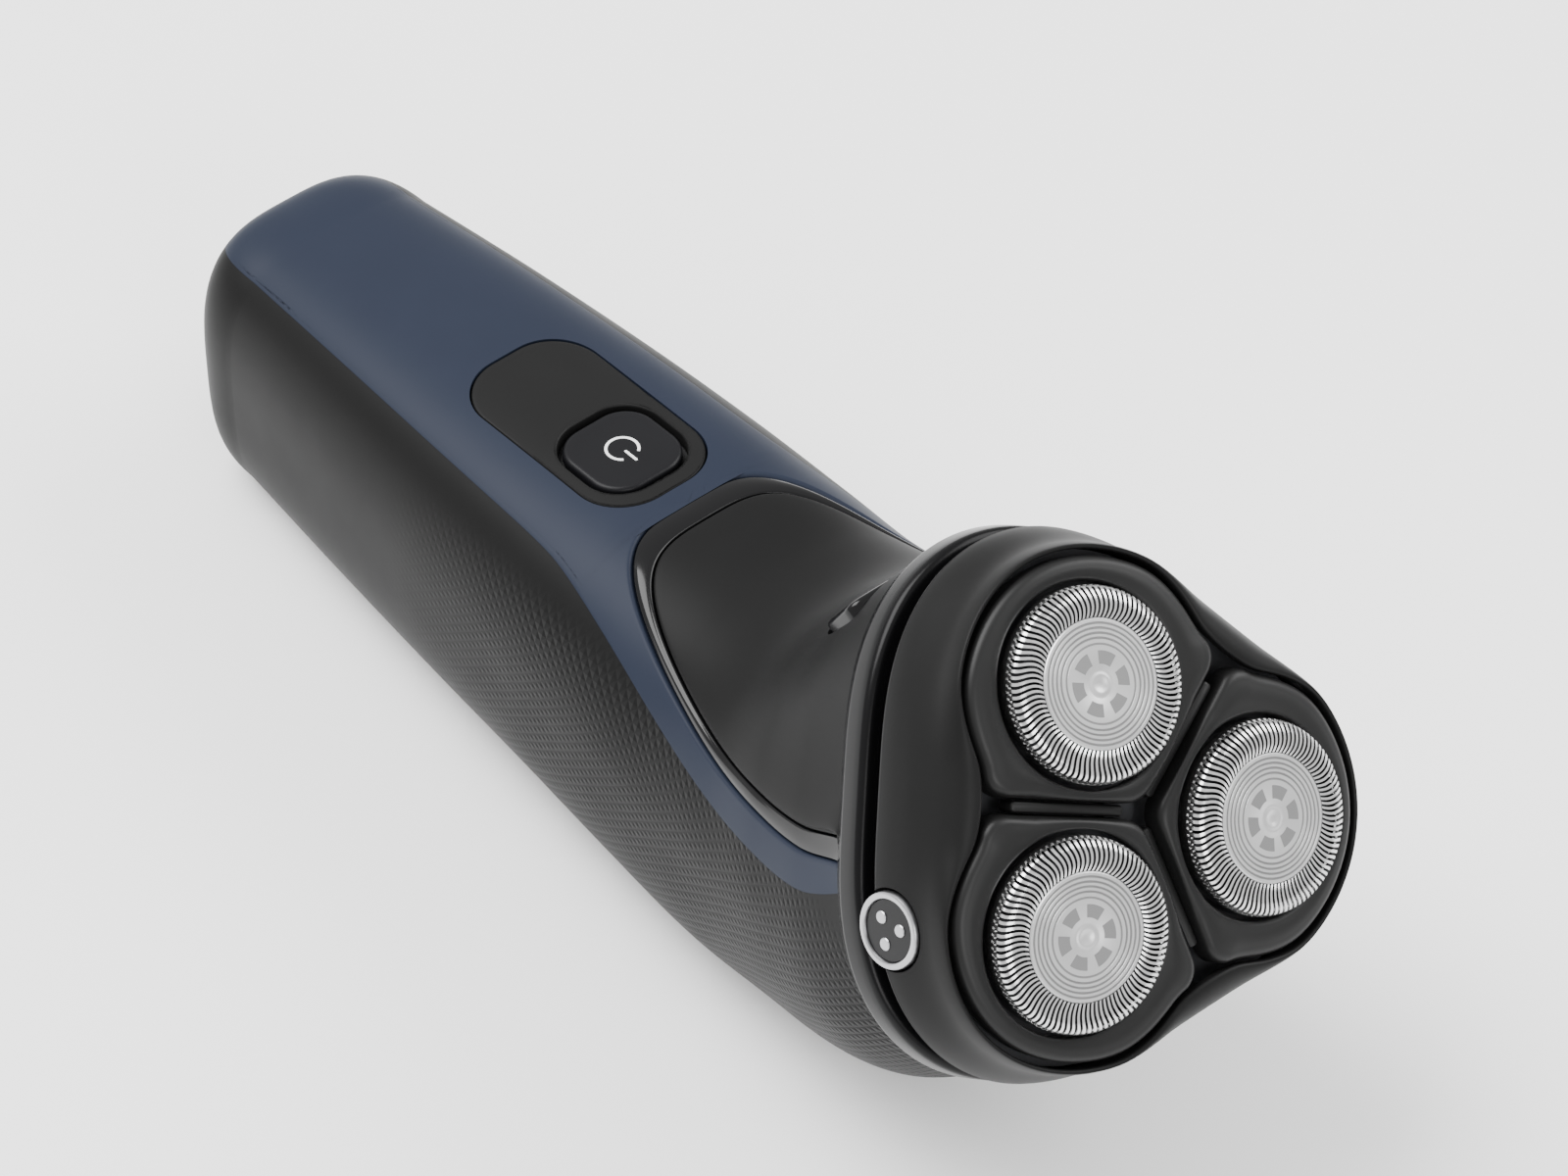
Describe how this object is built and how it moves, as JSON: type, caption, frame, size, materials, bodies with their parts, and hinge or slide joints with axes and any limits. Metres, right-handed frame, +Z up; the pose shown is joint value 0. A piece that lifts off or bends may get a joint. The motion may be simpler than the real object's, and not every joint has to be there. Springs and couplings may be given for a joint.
{
  "type": "electric shaver",
  "caption": "Cordless rotary shaver with a tapered handle, an angled neck and a pivoting head that carries round slotted cutters; a trimmer folds out of the back.",
  "frame": {"origin": "middle of the bounding box in plan, on the plane the shaver lies on", "axes": "+Y from the head to the tail, +Z up away from the resting face, X across the shaver"},
  "size_m": [0.061, 0.1637, 0.0799],
  "materials": {
    "body_black": "satin",
    "cover_navy": "satin",
    "panel_black": "satin",
    "trim_gloss": "gloss",
    "seal_rubber": "matte",
    "inner_plastic": "matte",
    "drive_white": "satin",
    "frame_dark": "satin",
    "steel": "brushed",
    "motor_can": "brushed",
    "pin_steel": "polished",
    "brass": "satin",
    "cell_wrap": "gloss",
    "board_green": "satin",
    "chip_black": "matte"
  },
  "bodies": {
    "handle": {"rear_housing": "body_black", "front_cover": "cover_navy", "button_panel": "panel_black", "button_seal": "seal_rubber", "neck_bezel": "trim_gloss", "neck_cover": "body_black", "end_cap": "body_black", "charging_socket": "trim_gloss", "charging_pins": "pin_steel", "inner_frame": "inner_plastic", "battery": "cell_wrap", "battery_tabs": "steel", "circuit_board": "board_green", "board_parts": "chip_black", "tact_switch": "steel", "motor": "motor_can", "motor_screws": "pin_steel", "gear_plate": "inner_plastic", "gear_posts": "pin_steel", "collar": "trim_gloss", "collar_seal": "seal_rubber", "housing_screws": "pin_steel", "release_spring": "pin_steel", "pivot_pins": "pin_steel", "pivot_badges": "pin_steel", "trimmer_pin": "pin_steel"},
    "power_button": {"power_button": "panel_black"},
    "release_button": {"release_button": "trim_gloss"},
    "rotor": {"motor_shaft": "steel", "drive_pinion": "brass"},
    "gear_top": {"drive_gear_top": "drive_white"},
    "gear_left": {"drive_gear_left": "drive_white"},
    "gear_right": {"drive_gear_right": "drive_white"},
    "chamber": {"hair_chamber": "inner_plastic", "spindle_seals": "seal_rubber", "hinge_pin": "pin_steel"},
    "spindle_top": {"spindle_top": "drive_white"},
    "spindle_left": {"spindle_left": "drive_white"},
    "spindle_right": {"spindle_right": "drive_white"},
    "head": {"head_shell": "body_black", "groove_bars": "body_black", "retaining_frame": "frame_dark", "frame_lock": "frame_dark"},
    "holder_top": {"holder_top": "body_black", "cap_top": "steel", "disc_top": "steel"},
    "holder_left": {"holder_left": "body_black", "cap_left": "steel", "disc_left": "steel"},
    "holder_right": {"holder_right": "body_black", "cap_right": "steel", "disc_right": "steel"},
    "cutter_top": {"cutter_top": "steel"},
    "cutter_left": {"cutter_left": "steel"},
    "cutter_right": {"cutter_right": "steel"},
    "trimmer": {"trimmer_housing": "body_black", "trimmer_comb": "steel"},
    "trimmer_blade": {"trimmer_blade": "steel"},
    "trimmer_slider": {"trimmer_slider": "trim_gloss"}
  },
  "joints": [
    {"name": "power_press", "type": "slide", "parent": "handle", "child": "power_button", "axis": [0, -0.1045, -0.9945], "range_m": [0, 0.0005], "stiffness_N_per_m": 400},
    {"name": "release_press", "type": "slide", "parent": "handle", "child": "release_button", "axis": [0, -0.8704, -0.4924], "range_m": [0, 0.001], "stiffness_N_per_m": 400},
    {"name": "motor_spin", "type": "hinge", "parent": "handle", "child": "rotor", "pos_m": [0, -0.05405, 0.04688], "axis": [0, -0.7716, 0.6361], "continuous": true},
    {"name": "gear_top_spin", "type": "hinge", "parent": "handle", "child": "gear_top", "pos_m": [0, -0.04413, 0.05892], "axis": [0, -0.7716, 0.6361], "continuous": true},
    {"name": "gear_left_spin", "type": "hinge", "parent": "handle", "child": "gear_left", "pos_m": [-0.01351, -0.05901, 0.04086], "axis": [0, -0.7716, 0.6361], "continuous": true},
    {"name": "gear_right_spin", "type": "hinge", "parent": "handle", "child": "gear_right", "pos_m": [0.01351, -0.05901, 0.04086], "axis": [0, -0.7716, 0.6361], "continuous": true},
    {"name": "head_pivot", "type": "hinge", "parent": "handle", "child": "chamber", "pos_m": [0, -0.05791, 0.05006], "axis": [1, 0, 0], "range_deg": [-3, 3], "stiffness_Nm_per_rad": 0.6},
    {"name": "spindle_top_spin", "type": "hinge", "parent": "chamber", "child": "spindle_top", "pos_m": [0, -0.0503, 0.064], "axis": [0, -0.7716, 0.6361], "continuous": true},
    {"name": "spindle_left_spin", "type": "hinge", "parent": "chamber", "child": "spindle_left", "pos_m": [-0.01351, -0.06519, 0.04595], "axis": [0, -0.7716, 0.6361], "continuous": true},
    {"name": "spindle_right_spin", "type": "hinge", "parent": "chamber", "child": "spindle_right", "pos_m": [0.01351, -0.06519, 0.04595], "axis": [0, -0.7716, 0.6361], "continuous": true},
    {"name": "head_open", "type": "hinge", "parent": "chamber", "child": "head", "pos_m": [0, -0.07439, 0.02943], "axis": [1, 0, 0], "range_deg": [0, 95]},
    {"name": "holder_top_flex", "type": "hinge", "parent": "head", "child": "holder_top", "pos_m": [0, -0.05725, 0.06973], "axis": [-1, 0, 0], "range_deg": [-3, 3], "stiffness_Nm_per_rad": 0.05},
    {"name": "holder_left_flex", "type": "hinge", "parent": "head", "child": "holder_left", "pos_m": [-0.01351, -0.07213, 0.05167], "axis": [0.5, -0.5509, -0.6682], "range_deg": [-3, 3], "stiffness_Nm_per_rad": 0.05},
    {"name": "holder_right_flex", "type": "hinge", "parent": "head", "child": "holder_right", "pos_m": [0.01351, -0.07213, 0.05167], "axis": [0.5, 0.5509, 0.6682], "range_deg": [-3, 3], "stiffness_Nm_per_rad": 0.05},
    {"name": "cutter_top_spin", "type": "hinge", "parent": "holder_top", "child": "cutter_top", "pos_m": [0, -0.05956, 0.07164], "axis": [0, -0.7046, 0.7096], "continuous": true},
    {"name": "cutter_left_spin", "type": "hinge", "parent": "holder_left", "child": "cutter_left", "pos_m": [-0.01351, -0.07445, 0.05358], "axis": [-0.086, -0.7994, 0.5946], "continuous": true},
    {"name": "cutter_right_spin", "type": "hinge", "parent": "holder_right", "child": "cutter_right", "pos_m": [0.01351, -0.07445, 0.05358], "axis": [0.086, -0.7994, 0.5946], "continuous": true},
    {"name": "trimmer_open", "type": "hinge", "parent": "handle", "child": "trimmer", "pos_m": [0, -0.00248, 0.0039], "axis": [-1, 0, 0], "range_deg": [0, 60]},
    {"name": "blade_travel", "type": "slide", "parent": "trimmer", "child": "trimmer_blade", "axis": [1, 0, 0], "range_m": [-0.0006, 0.0006], "stiffness_N_per_m": 100},
    {"name": "slider_travel", "type": "slide", "parent": "trimmer", "child": "trimmer_slider", "axis": [0, 1, 0], "range_m": [0, 0.003]}
  ],
  "couplings": [
    {"joint": "gear_top_spin", "follows": "motor_spin", "ratio": -0.36842},
    {"joint": "gear_left_spin", "follows": "motor_spin", "ratio": -0.36842},
    {"joint": "gear_right_spin", "follows": "motor_spin", "ratio": -0.36842},
    {"joint": "spindle_top_spin", "follows": "motor_spin", "ratio": -0.36842},
    {"joint": "spindle_left_spin", "follows": "motor_spin", "ratio": -0.36842},
    {"joint": "spindle_right_spin", "follows": "motor_spin", "ratio": -0.36842},
    {"joint": "cutter_top_spin", "follows": "motor_spin", "ratio": -0.36842},
    {"joint": "cutter_left_spin", "follows": "motor_spin", "ratio": -0.36842},
    {"joint": "cutter_right_spin", "follows": "motor_spin", "ratio": -0.36842}
  ]
}
